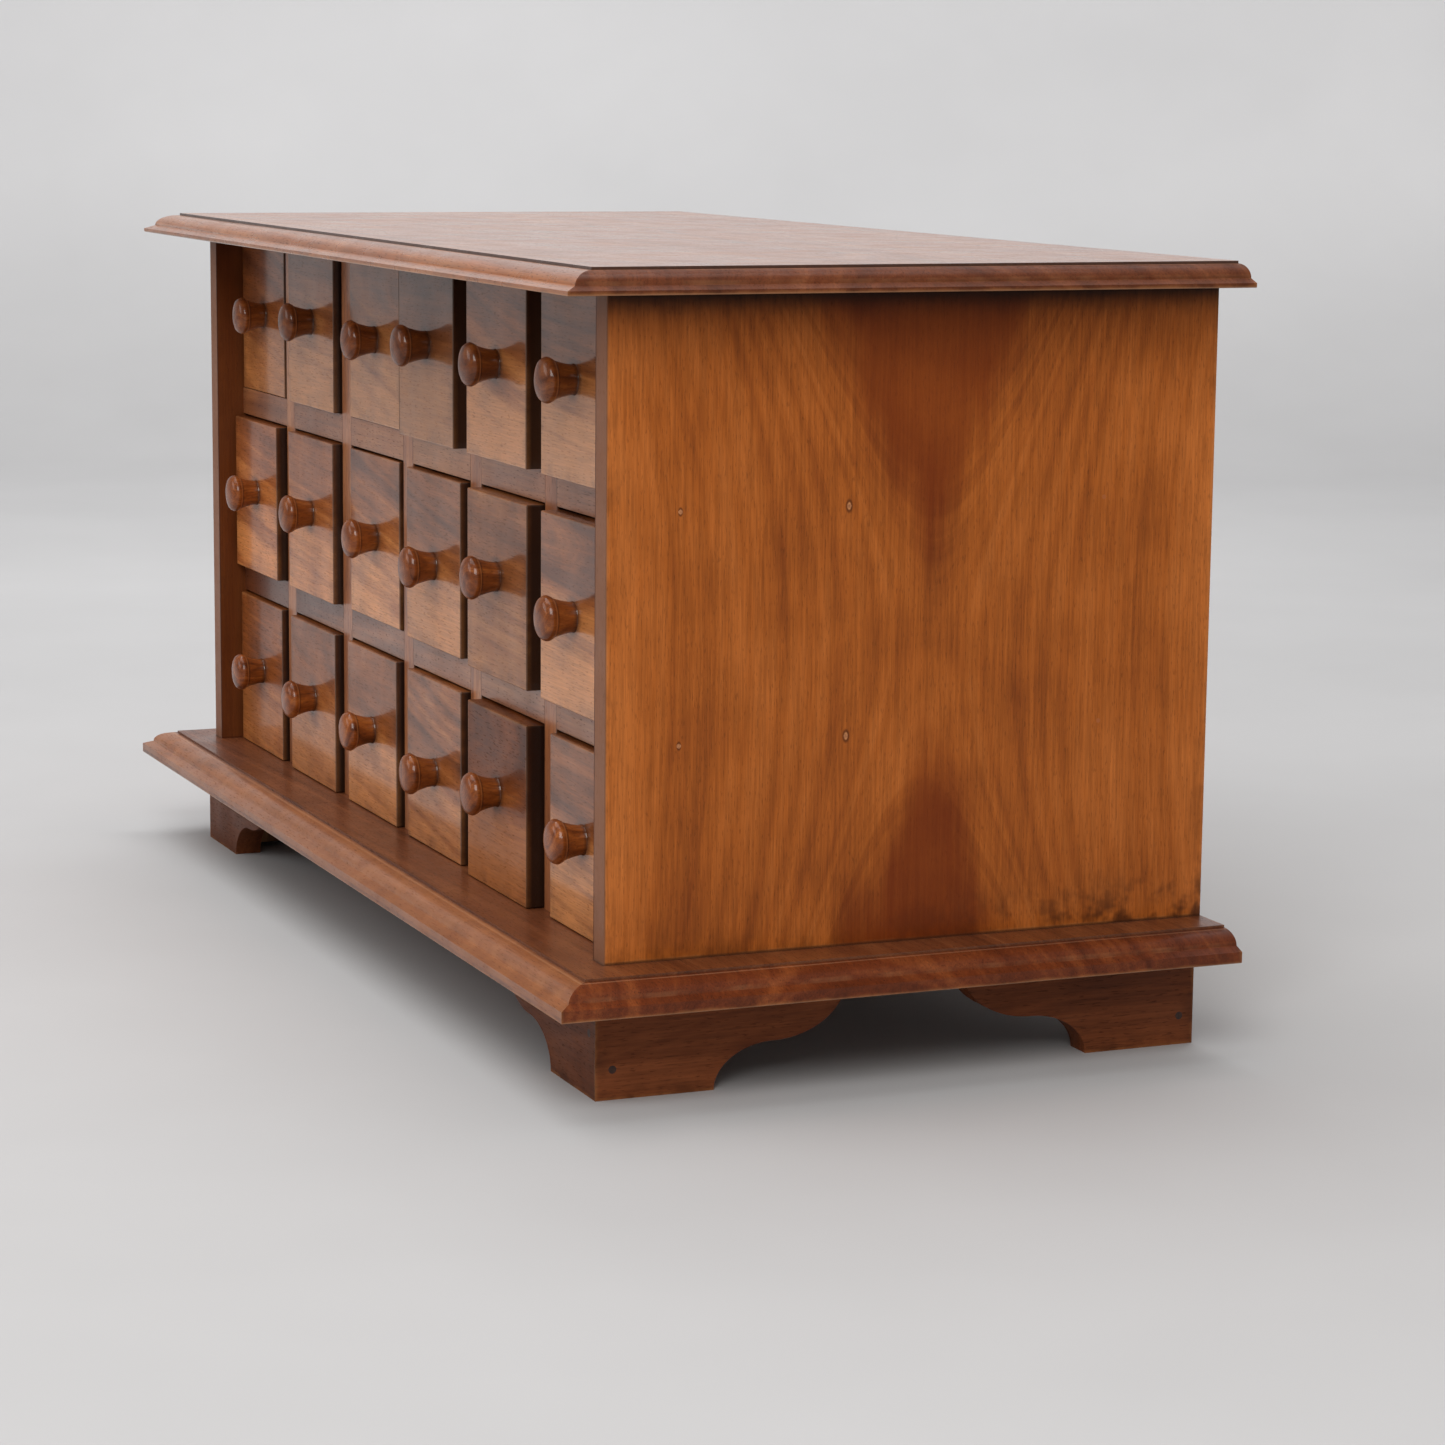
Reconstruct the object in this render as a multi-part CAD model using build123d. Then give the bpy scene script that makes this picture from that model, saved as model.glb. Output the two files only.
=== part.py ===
from build123d import *
import os

# Bank of small drawers for index cards, standing on bracket feet.
# Millimetres. +X is to the right seen from the front, +Y to the back, +Z up.
# The origin is on the floor, in the middle of the overall width and depth.

# Driving dimensions
COLUMNS = 6
ROWS = 3
OPENING_W = 110.0      # clear width of one drawer opening
OPENING_H = 109.0      # clear height of one drawer opening
SIDE_T = 16.0          # side boards
DIVIDER_T = 20.0       # upright partitions between the columns
SHELF_T = 18.5         # shelves between two rows
CASE_DEPTH = 370.0     # front edge of the side boards to the back
RECESS = 19.0          # partitions and shelves stand this far behind the side boards' front edges
PANEL_T = 6.0          # back panel
RABBET = 9.0           # width of the side boards' back rabbet that takes the panel

# Moulded top and base boards: one cutter, two board thicknesses
TOP_T = 14.0
TOP_OVERHANG_SIDE = 41.5
TOP_OVERHANG_FRONT = 37.5
BASE_T = 18.0
BASE_OVERHANG_SIDE = 49.0
BASE_OVERHANG_FRONT = 42.5
OVOLO_W = 14.5         # width and height of the quarter-ellipse
OVOLO_H = 7.6
BEVEL_W = 6.5          # sloping ledge outside the ovolo
BEVEL_H = 2.4
QUIRK = 1.4            # small square step between the flat and the ovolo
NOSE_R = 0.8           # rounding of the lowest outer edge

# Bracket feet
FOOT_H = 57.5
FOOT_T = 18.0
FOOT_PROUD_SIDE = 1.0  # the side faces of the feet stand this far outside the case sides
FOOT_PROUD = 5.0       # the front feet stand this far in front of the case
FOOT_BACK_INSET = 3.5
FOOT_FLAT = 70.0       # length of the flat bottom from the outer corner
COVE_W = 36.0          # concave lower part of the cut-out
COVE_H = 25.0
SWELL_W = 44.0         # convex upper part of the cut-out
BLOCK_SIDE = 30.0      # glue block in each inner corner
BLOCK_LIFT = 3.0
PIN_R = 2.3
PIN_LENGTH = 26.0
PIN_FROM_CORNER = 10.0
PIN_HEIGHT = 17.0
PIN_HEIGHT_FACE = 36.0 # pins driven in from the front face

# Drawers
FRONT_T = 18.0
DRAWER_LENGTH = 334.0
DRAWER_GAP_SIDE = 3.0
DRAWER_GAP_BELOW = 0.4
DRAWER_GAP_ABOVE = 1.5
LINING_T = 8.0         # drawer sides and back
SIDE_DROP = 6.0        # the drawer sides and back stop this far below the front's top edge
LAP = 5.0              # depth of the front's end rabbets that take the drawer sides
BOTTOM_T = 4.0
BOTTOM_LIFT = 6.0      # underside of the drawer bottom above the drawer's lower edge
GROOVE = 4.0           # depth of the grooves that hold the drawer bottom

# Knobs: radii and distances from the drawer front
KNOB_LENGTH = 20.8
HEAD_R = 12.8
HEAD_DEPTH = 15.2      # where the head is widest
RING_R = 11.8          # arris behind the head
RING_DEPTH = 12.9
SHOULDER_R = 11.1      # where the hollow neck meets the head
SHOULDER_DEPTH = 12.3
FOOT_R = 8.9
NECK_CURVE = [(8.7, 1.5), (9.2, 5.0), (10.1, 8.5)]
DOME_CURVE = [(12.2, 17.3), (10.6, 19.1), (7.8, 20.15), (4.0, 20.68)]
TENON_R = 5.0
TENON_LENGTH = 12.0

# Case joinery
HOUSING_D = 4.0        # depth of the housings in the top and base boards
HOUSING_STOP = 12.0    # a partition's housing starts this far behind its front edge
SHELF_HOUSING = 5.0    # depth of the side boards' housings for the shelves
NAIL_R = 1.3           # filled nails through the side boards into the shelves' ends
NAIL_LENGTH = 45.0
NAIL_DEPTHS = [43.0, 142.5, 300.0]  # behind the side board's front edge
SCREW_R = 1.6          # screws of the back panel
SCREW_HEAD_R = 3.2
SCREW_LENGTH = 20.0
SCREW_EDGE = 4.5
SCREW_ROWS = 4

# Where each drawer stands at rest, in front of the partitions' plane, by row from the top
REST_OUT = [
    [0.5, 5.0, 1.5, 10.0, 10.5, 11.0],
    [7.0, 6.0, 1.8, 5.5, 10.0, 11.0],
    [4.0, 5.2, 4.4, 5.4, 9.9, 5.0],
]
# How far each knob was bored above the middle of its drawer front
KNOB_RISE = [
    [0.5, 3.8, 0.0, 5.2, 2.8, 3.3],
    [3.3, 2.2, 0.0, -3.0, 6.4, -0.3],
    [3.0, 2.9, 1.6, -4.4, 6.0, 1.3],
]

# Worked out from the driving dimensions
CASE_W = COLUMNS * OPENING_W + (COLUMNS - 1) * DIVIDER_T + 2 * SIDE_T
CASE_H = ROWS * OPENING_H + (ROWS - 1) * SHELF_T
BASE_TOP = FOOT_H + BASE_T
CASE_TOP = BASE_TOP + CASE_H
CASE_FRONT = (BASE_OVERHANG_FRONT - CASE_DEPTH) / 2
CASE_BACK = CASE_FRONT + CASE_DEPTH
FACE = CASE_FRONT + RECESS
PANEL_FRONT = CASE_BACK - PANEL_T
HALVING = (FACE + PANEL_FRONT) / 2     # where the slots of shelves and partitions meet
INNER_X = CASE_W / 2 - SIDE_T
FOOT_X = CASE_W / 2 + FOOT_PROUD_SIDE
FOOT_FRONT = CASE_FRONT - FOOT_PROUD
FOOT_BACK = CASE_BACK - FOOT_BACK_INSET
FRONT_W = OPENING_W - 2 * DRAWER_GAP_SIDE
FRONT_H = OPENING_H - DRAWER_GAP_BELOW - DRAWER_GAP_ABOVE


def block(x0, x1, y0, y1, z0, z1):
    """A rectangular board between two corners."""
    size = (x1 - x0, y1 - y0, z1 - z0)
    return Pos((x0 + x1) / 2, (y0 + y1) / 2, (z0 + z1) / 2) * Box(*size)


def cell_left(column):
    """X of the left wall of an opening."""
    return -INNER_X + column * (OPENING_W + DIVIDER_T)


def cell_floor(row):
    """Z of the floor of an opening; row 0 is the top row."""
    return BASE_TOP + (ROWS - 1 - row) * (OPENING_H + SHELF_T)


# Top and base boards

def edge_outline(thickness, overhang, square_end):
    """Cross-section of a board: moulded at overhang 0, square at square_end; u runs inwards."""
    band = thickness - QUIRK - OVOLO_H - BEVEL_H
    ledge = band + BEVEL_H
    shoulder = thickness - QUIRK
    inner = BEVEL_W + OVOLO_W
    with BuildLine() as line:
        Line((square_end, 0), (NOSE_R, 0))
        RadiusArc((NOSE_R, 0), (0, NOSE_R), NOSE_R)
        Line((0, NOSE_R), (0, band))
        Line((0, band), (BEVEL_W, ledge))
        EllipticalCenterArc((inner, ledge), OVOLO_W, OVOLO_H, start_angle=90, arc_size=90)
        Line((inner, shoulder), (inner, thickness))
        Line((inner, thickness), (square_end, thickness))
        Line((square_end, thickness), (square_end, 0))
    return line.line


def moulded_board(thickness, side_overhang, front_overhang, z0):
    """A board moulded on the front and both ends and cut square at the back."""
    half = CASE_W / 2 + side_overhang
    front = CASE_FRONT - front_overhang
    depth = CASE_BACK - front
    outline = edge_outline(thickness, front_overhang, depth)
    front_face = make_face(Plane.YZ * Pos(front, z0) * outline)
    front_bar = extrude(front_face, half, both=True)
    outline = edge_outline(thickness, side_overhang, half)
    left_face = make_face(Plane.XZ * Pos(-half, z0) * outline)
    left_bar = extrude(left_face, 2 * depth, both=True)
    ends = left_bar + mirror(left_bar, Plane.YZ)
    return front_bar & ends


def divider_x(index):
    """X of the middle of a partition; index 1 is the leftmost."""
    return cell_left(index) - DIVIDER_T / 2


def board_housings(z0, z1):
    """The stopped housings that take the partitions' ends."""
    cuts = []
    for index in range(1, COLUMNS):
        x = divider_x(index)
        cuts.append(block(x - DIVIDER_T / 2, x + DIVIDER_T / 2, FACE + HOUSING_STOP, PANEL_FRONT, z0, z1))
    return cuts


def top_board():
    board = moulded_board(TOP_T, TOP_OVERHANG_SIDE, TOP_OVERHANG_FRONT, CASE_TOP)
    return board - board_housings(CASE_TOP, CASE_TOP + HOUSING_D)


def base_board():
    board = moulded_board(BASE_T, BASE_OVERHANG_SIDE, BASE_OVERHANG_FRONT, FOOT_H)
    return board - board_housings(BASE_TOP - HOUSING_D, BASE_TOP)


# Case

def shelf_z(level):
    """Z of the underside of a shelf; level 0 is the upper one."""
    return cell_floor(level) - SHELF_T


def side_housing(level):
    """The layer of the right side board's inner face that takes a shelf's end."""
    z = shelf_z(level)
    return block(INNER_X, INNER_X + SHELF_HOUSING, FACE, PANEL_FRONT, z, z + SHELF_T)


def right_side():
    outer = CASE_W / 2
    board = block(INNER_X, outer, CASE_FRONT, CASE_BACK, BASE_TOP, CASE_TOP)
    board -= block(INNER_X, INNER_X + RABBET, PANEL_FRONT, CASE_BACK, BASE_TOP, CASE_TOP)
    board -= [side_housing(level) for level in range(ROWS - 1)]
    return board - right_nails() - back_screws()


def shelf(level):
    """Full-width shelf; each partition crosses it in a slot that runs in from the front."""
    half = INNER_X + SHELF_HOUSING
    z = shelf_z(level)
    board = block(-half, half, FACE, PANEL_FRONT, z, z + SHELF_T)
    for index in range(1, COLUMNS):
        x = divider_x(index)
        board -= block(x - DIVIDER_T / 2, x + DIVIDER_T / 2, FACE, HALVING, z, z + SHELF_T)
    return board - right_nails() - [mirror(nail, Plane.YZ) for nail in right_nails()]


def divider(index):
    """Upright partition; it crosses each shelf in a slot that runs in from the back."""
    x = divider_x(index)
    left = x - DIVIDER_T / 2
    right = x + DIVIDER_T / 2
    board = block(left, right, FACE, PANEL_FRONT, BASE_TOP, CASE_TOP)
    board += block(left, right, FACE + HOUSING_STOP, PANEL_FRONT, BASE_TOP - HOUSING_D, CASE_TOP + HOUSING_D)
    for level in range(ROWS - 1):
        z = shelf_z(level)
        board -= block(left, right, HALVING, PANEL_FRONT, z, z + SHELF_T)
    return board


def right_nails():
    """Nails driven in through the right side board, halfway up each shelf's edge."""
    nail = Rot(0, 90, 0) * Cylinder(NAIL_R, NAIL_LENGTH, align=(Align.CENTER, Align.CENTER, Align.MAX))
    nails = []
    for level in range(ROWS - 1):
        for depth in NAIL_DEPTHS:
            nails.append(Pos(CASE_W / 2, CASE_FRONT + depth, shelf_z(level) + SHELF_T / 2) * nail)
    return nails


def shelf_nails():
    nails = right_nails()
    return nails + [mirror(nail, Plane.YZ) for nail in nails]


def back_panel():
    half = INNER_X + RABBET
    panel = block(-half, half, PANEL_FRONT, CASE_BACK, BASE_TOP, CASE_TOP)
    return panel - back_screws()


def countersunk_screw():
    """A screw along -Y, its flat head at the origin."""
    head_depth = SCREW_HEAD_R - SCREW_R
    cone = Cone(SCREW_R, SCREW_HEAD_R, head_depth, align=(Align.CENTER, Align.CENTER, Align.MAX))
    shank = Pos(0, 0, -head_depth) * Cylinder(
        SCREW_R, SCREW_LENGTH - head_depth, align=(Align.CENTER, Align.CENTER, Align.MAX)
    )
    slot = Box(2 * SCREW_HEAD_R, 0.8, 1.4)
    return Rot(-90, 0, 0) * (cone + shank - slot)


def back_screws():
    """Screws through the back panel's ends into the side boards."""
    screws = []
    step = CASE_H / SCREW_ROWS
    for side in (-1, 1):
        for index in range(SCREW_ROWS):
            z = BASE_TOP + step * (index + 0.5)
            x = side * (INNER_X + SCREW_EDGE)
            screws.append(Pos(x, CASE_BACK, z) * countersunk_screw())
    return screws


# Bracket feet

def bracket_outline():
    """Side view of a bracket; u runs inwards from the corner, the cut-out is a cove then a swell."""
    cove_end = FOOT_FLAT + COVE_W
    tip = cove_end + SWELL_W
    with BuildLine() as line:
        Line((0, FOOT_H), (0, 0))
        Line((0, 0), (FOOT_FLAT, 0))
        EllipticalCenterArc((cove_end, 0), COVE_W, COVE_H, start_angle=90, arc_size=90)
        EllipticalCenterArc((cove_end, FOOT_H), SWELL_W, FOOT_H - COVE_H, start_angle=270, arc_size=90)
        Line((tip, FOOT_H), (0, FOOT_H))
    return make_face(line.line)


def side_bracket_front():
    """Right side, front foot: mitred to the front bracket."""
    face = Plane.YZ * Pos(FOOT_FRONT, 0) * bracket_outline()
    plate = Pos(FOOT_X - FOOT_T, 0, 0) * extrude(face, FOOT_T)
    return plate - front_of_mitre()


def front_bracket():
    """Front foot, front face: mitred to the side bracket."""
    face = Plane.XZ * mirror(Pos(-FOOT_X, 0) * bracket_outline(), Plane.YZ)
    plate = Pos(0, FOOT_FRONT + FOOT_T, 0) * extrude(face, FOOT_T)
    return plate & front_of_mitre()


def front_of_mitre():
    """The front bracket's side of the mitre plane, as long as the bracket."""
    length = FOOT_FLAT + COVE_W + SWELL_W + FOOT_T
    points = [
        (FOOT_X, FOOT_FRONT),
        (FOOT_X - FOOT_T, FOOT_FRONT + FOOT_T),
        (FOOT_X - length, FOOT_FRONT + FOOT_T),
        (FOOT_X - length, FOOT_FRONT),
    ]
    return extrude(make_face(Polyline(*points, close=True)), FOOT_H)


def side_bracket_back():
    """Right side, back foot: covers the end of the back bracket."""
    face = Plane.YZ * mirror(Pos(-FOOT_BACK, 0) * bracket_outline(), Plane.YZ)
    return Pos(FOOT_X - FOOT_T, 0, 0) * extrude(face, FOOT_T)


def back_bracket():
    """Plain board behind a back foot, butted against the side bracket."""
    x1 = FOOT_X - FOOT_T
    return block(FOOT_X - FOOT_FLAT, x1, FOOT_BACK - FOOT_T, FOOT_BACK, 0, FOOT_H)


def glue_blocks():
    """A square block in each inner corner, clear of the floor."""
    x1 = FOOT_X - FOOT_T
    front = FOOT_FRONT + FOOT_T
    back = FOOT_BACK - FOOT_T
    blocks = []
    for y0, y1 in ((front, front + BLOCK_SIDE), (back - BLOCK_SIDE, back)):
        piece = block(x1 - BLOCK_SIDE, x1, y0, y1, BLOCK_LIFT, FOOT_H)
        blocks.append(piece)
        blocks.append(mirror(piece, Plane.YZ))
    return blocks


def right_pins():
    """Pins of the right-hand feet: two across each front mitre, one in the back corner."""
    pin = Cylinder(PIN_R, PIN_LENGTH, align=(Align.CENTER, Align.CENTER, Align.MAX))
    inwards = Rot(0, 90, 0) * pin
    backwards = Rot(90, 0, 0) * pin
    return [
        Pos(FOOT_X, FOOT_FRONT + PIN_FROM_CORNER, PIN_HEIGHT) * inwards,
        Pos(FOOT_X - PIN_FROM_CORNER, FOOT_FRONT, PIN_HEIGHT_FACE) * backwards,
        Pos(FOOT_X, FOOT_BACK - FOOT_T / 2, PIN_HEIGHT) * inwards,
    ]


def foot_pins():
    pins = right_pins()
    return pins + [mirror(pin, Plane.YZ) for pin in pins]


def pinned(piece):
    """The same right-hand piece with the holes of the foot pins."""
    return piece - right_pins()


# Drawers

def drawer_front(width, height):
    """Front board, rabbeted at both ends for the sides and grooved for the bottom."""
    board = block(-width / 2, width / 2, 0, FRONT_T, 0, height)
    lining_top = height - SIDE_DROP
    for side in (-1, 1):
        x = side * (width / 2 - LINING_T / 2)
        half = LINING_T / 2
        board -= block(x - half, x + half, FRONT_T - LAP, FRONT_T, 0, lining_top)
    groove_half = width / 2 - LINING_T
    board -= block(-groove_half, groove_half, FRONT_T - GROOVE, FRONT_T, BOTTOM_LIFT, BOTTOM_LIFT + BOTTOM_T)
    return board


def drawer_side(width, height):
    """Right-hand side board, grooved for the bottom and housed for the back."""
    inner = width / 2 - LINING_T
    board = block(inner, width / 2, FRONT_T - LAP, DRAWER_LENGTH, 0, height - SIDE_DROP)
    board -= block(inner, inner + GROOVE, FRONT_T - LAP, DRAWER_LENGTH, BOTTOM_LIFT, BOTTOM_LIFT + BOTTOM_T)
    back_y = DRAWER_LENGTH - 2 * LINING_T
    z0 = BOTTOM_LIFT + BOTTOM_T
    return board - block(inner, inner + GROOVE, back_y, back_y + LINING_T, z0, height - SIDE_DROP)


def drawer_back(width, height):
    """Back board, standing on the bottom and housed in the sides."""
    half = width / 2 - LINING_T + GROOVE
    back_y = DRAWER_LENGTH - 2 * LINING_T
    return block(-half, half, back_y, back_y + LINING_T, BOTTOM_LIFT + BOTTOM_T, height - SIDE_DROP)


def drawer_bottom(width):
    """Thin board that slides in from behind, under the back."""
    inner = width / 2 - LINING_T
    board = block(-inner - GROOVE, inner + GROOVE, FRONT_T, DRAWER_LENGTH, BOTTOM_LIFT, BOTTOM_LIFT + BOTTOM_T)
    return board + block(-inner, inner, FRONT_T - GROOVE, FRONT_T, BOTTOM_LIFT, BOTTOM_LIFT + BOTTOM_T)


def drawer_pieces(rise):
    """Five boards of a drawer; its front's lower middle is at the origin, rise is the knob's."""
    side = drawer_side(FRONT_W, FRONT_H)
    hole = tenon_hole(FRONT_H / 2 + rise)
    return [
        drawer_front(FRONT_W, FRONT_H) - hole,
        side,
        mirror(side, Plane.YZ),
        drawer_back(FRONT_W, FRONT_H),
        drawer_bottom(FRONT_W),
    ]


def tenon_hole(z):
    """The blind hole of a knob's tenon."""
    return Pos(0, 0, z) * Rot(-90, 0, 0) * Cylinder(
        TENON_R, TENON_LENGTH, align=(Align.CENTER, Align.CENTER, Align.MIN)
    )


def knob():
    """Turned knob along -Y from the origin, with its tenon behind."""
    with BuildLine() as line:
        Line((0, -TENON_LENGTH), (TENON_R, -TENON_LENGTH))
        Line((TENON_R, -TENON_LENGTH), (TENON_R, 0))
        Line((TENON_R, 0), (FOOT_R, 0))
        Spline(
            (FOOT_R, 0),
            *NECK_CURVE,
            (SHOULDER_R, SHOULDER_DEPTH),
            tangents=((-0.2, 1), (0.3, 1)),
        )
        Line((SHOULDER_R, SHOULDER_DEPTH), (RING_R, RING_DEPTH))
        Spline(
            (RING_R, RING_DEPTH),
            (HEAD_R, HEAD_DEPTH),
            *DOME_CURVE,
            (0, KNOB_LENGTH),
            tangents=((0.7, 1), (-1, 0)),
        )
        Line((0, KNOB_LENGTH), (0, -TENON_LENGTH))
    section = make_face(line.line)
    turned = revolve(Plane.XZ * section, Axis.Z)
    return Rot(90, 0, 0) * turned


def drawer_place(row, column):
    """Where the lower middle of a drawer's front face stands at rest."""
    x = cell_left(column) + OPENING_W / 2
    return (x, FACE - REST_OUT[row][column], cell_floor(row) + DRAWER_GAP_BELOW)


# Output

def save(name, solids):
    """One STEP file for one node, its solids side by side and unfused."""
    if not isinstance(solids, (list, tuple)):
        solids = [solids]
    parts = []
    for solid in solids:
        parts.extend(solid.solids())
    shape = parts[0] if len(parts) == 1 else Compound(children=parts)
    export_step(shape, os.path.join("parts", name + ".step"))


def save_pair(name, right_piece):
    """A right-hand piece and its mirror image."""
    save("right_" + name, right_piece)
    save("left_" + name, mirror(right_piece, Plane.YZ))


def save_case():
    save("top_board", top_board())
    save("base_board", base_board())
    save_pair("side_board", right_side())
    for index in range(1, COLUMNS):
        save(f"divider_{index}", divider(index))
    save("upper_shelf", shelf(0))
    save("lower_shelf", shelf(1))
    save("shelf_nails", shelf_nails())
    save("back_panel", back_panel())
    save("back_panel_screws", back_screws())


def save_feet():
    save_pair("front_foot_face", pinned(front_bracket()))
    save_pair("front_foot_side", pinned(side_bracket_front()))
    save_pair("back_foot_side", pinned(side_bracket_back()))
    save_pair("back_foot_face", pinned(back_bracket()))
    save("foot_glue_blocks", glue_blocks())
    save("foot_pins", foot_pins())


def save_drawers():
    turned = knob()
    for row in range(ROWS):
        for column in range(COLUMNS):
            x, y, z = drawer_place(row, column)
            rise = KNOB_RISE[row][column]
            name = f"drawer_r{row + 1}_c{column + 1}"
            boards = [Pos(x, y, z) * piece for piece in drawer_pieces(rise)]
            save(name + "_box", boards)
            save(name + "_knob", Pos(x, y, z + FRONT_H / 2 + rise) * turned)


os.makedirs("parts", exist_ok=True)
save_case()
save_feet()
save_drawers()
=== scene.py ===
import math
import random

import bmesh
import bpy
from mathutils import Matrix, Vector


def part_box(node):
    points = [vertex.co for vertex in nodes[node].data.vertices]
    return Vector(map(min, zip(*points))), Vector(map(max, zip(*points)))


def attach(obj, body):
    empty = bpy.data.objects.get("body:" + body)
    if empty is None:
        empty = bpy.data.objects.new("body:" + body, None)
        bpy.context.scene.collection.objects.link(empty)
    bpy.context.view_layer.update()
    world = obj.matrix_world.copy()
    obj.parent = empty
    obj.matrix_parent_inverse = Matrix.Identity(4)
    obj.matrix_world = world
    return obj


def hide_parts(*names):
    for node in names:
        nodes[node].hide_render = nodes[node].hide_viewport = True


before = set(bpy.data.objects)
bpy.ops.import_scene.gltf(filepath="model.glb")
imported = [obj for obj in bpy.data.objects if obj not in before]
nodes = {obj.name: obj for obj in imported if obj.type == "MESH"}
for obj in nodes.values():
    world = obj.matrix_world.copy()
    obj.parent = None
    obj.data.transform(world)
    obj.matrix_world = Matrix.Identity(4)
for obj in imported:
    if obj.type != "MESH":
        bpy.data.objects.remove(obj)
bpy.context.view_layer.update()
MM = 0.001


def linear(red, green, blue):
    """An sRGB colour, 0 to 255, as the linear values that shaders take."""
    out = []
    for value in (red, green, blue):
        c = value / 255
        out.append(c / 12.92 if c <= 0.04045 else ((c + 0.055) / 1.055) ** 2.4)
    return (*out, 1.0)


def toned(tones, tone, warm=0.0):
    """The same colours, made lighter by the factor tone and shifted from blue to red by warm."""
    return [(r * tone * (1 + warm), g * tone, b * tone * (1 - warm), 1.0) for r, g, b, _ in tones]


# ---------------------------------------------------------------- colours

# dark, middle and light tones of each wood
SIDE_TONES = (linear(104, 46, 15), linear(160, 86, 31), linear(190, 110, 50))
FRONT_TONES = (linear(88, 46, 22), linear(139, 82, 42), linear(184, 122, 70))
RAIL_TONES = (linear(112, 60, 32), linear(150, 90, 52), linear(178, 118, 74))
SHELF_TONES = (linear(92, 48, 26), linear(138, 84, 50), linear(170, 114, 72))
TOP_TONES = (linear(104, 56, 30), linear(152, 90, 50), linear(184, 122, 74))
BASE_TONES = (linear(80, 41, 22), linear(118, 66, 37), linear(152, 94, 56))
# darker tones for the top's and base's moulded ends: end-grain stain and painted shade
END_STAIN_AND_SHADE_TONES = (linear(64, 28, 14), linear(98, 50, 27), linear(126, 72, 42))
BASE_END_STAIN_AND_SHADE_TONES = (linear(66, 26, 11), linear(104, 48, 22), linear(146, 80, 40))
FOOT_TONES = (linear(72, 35, 18), linear(113, 60, 32), linear(140, 79, 45))
KNOB_TONES = (linear(78, 35, 12), linear(120, 61, 23), linear(150, 85, 36))
LINING_TONES = (linear(124, 80, 46), linear(172, 124, 80), linear(200, 154, 108))

PORE = linear(48, 24, 12)
WORN = linear(176, 122, 74)
GRIME = linear(46, 24, 13)
HEART = linear(120, 50, 10)
NAIL_RING = linear(72, 34, 16)
NAIL_CORE = linear(206, 142, 92)
FOOT_GRIME = linear(58, 28, 14)
FOOT_LINE = linear(60, 30, 16)
# painted shadow that the overhanging top casts on the side boards
OVERHANG_SHADOW = linear(22, 9, 5)
# greyish brown for the side boards' front edge faces
GREYED_FRONT_EDGE = linear(118, 84, 66)
# painted shade on the side boards' inner faces, inside the case
INNER_SHADE = linear(70, 30, 11)
# painted shade inside the recesses behind the shelves' and partitions' front edges
RECESS_SHADE = linear(24, 12, 7)
BUTT_LINE = linear(52, 26, 15)
QUIRK_LINE = linear(44, 22, 13)
# painted highlights on the mouldings' arrises and nose
QUIRK_HIGHLIGHT = linear(216, 170, 132)
NOSE_HIGHLIGHT = linear(206, 160, 124)
ARRIS_HIGHLIGHT = linear(196, 140, 98)
# darker colour for the base board's flat
LEDGE_DARK = linear(58, 27, 14)
# painted light on the base board's front moulding
LIT_FRONT_MOULDING = linear(186, 122, 74)
CASE_LINE = linear(52, 26, 14)
# painted shade at the knobs' feet and grime in their turning lines
KNOB_GRIME_AND_SHADE = linear(40, 20, 11)
# painted highlight on the knobs' ring edge
KNOB_ARRIS_HIGHLIGHT = linear(186, 120, 72)
# stain and painted shade for the drawer fronts' end faces
FRONT_END_STAIN_AND_SHADE = linear(32, 16, 8)
# stain and a painted dark reflection along the fronts' vertical arrises
FRONT_RIM_STAIN_AND_REFLECTION = linear(30, 14, 8)
# painted shade around each knob on its drawer front
KNOB_SHADE_HALO = linear(60, 32, 18)
PIN_FILLER = (linear(34, 18, 12), linear(70, 38, 24))
NAIL_FILLER = (linear(132, 78, 42), linear(196, 132, 84))
SCREW_STEEL = (linear(88, 84, 78), linear(148, 142, 132))
PAPER = (linear(200, 201, 203), linear(209, 210, 212))
AIR = linear(214, 208, 204)


# ---------------------------------------------------------------- shader graph helper

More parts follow.
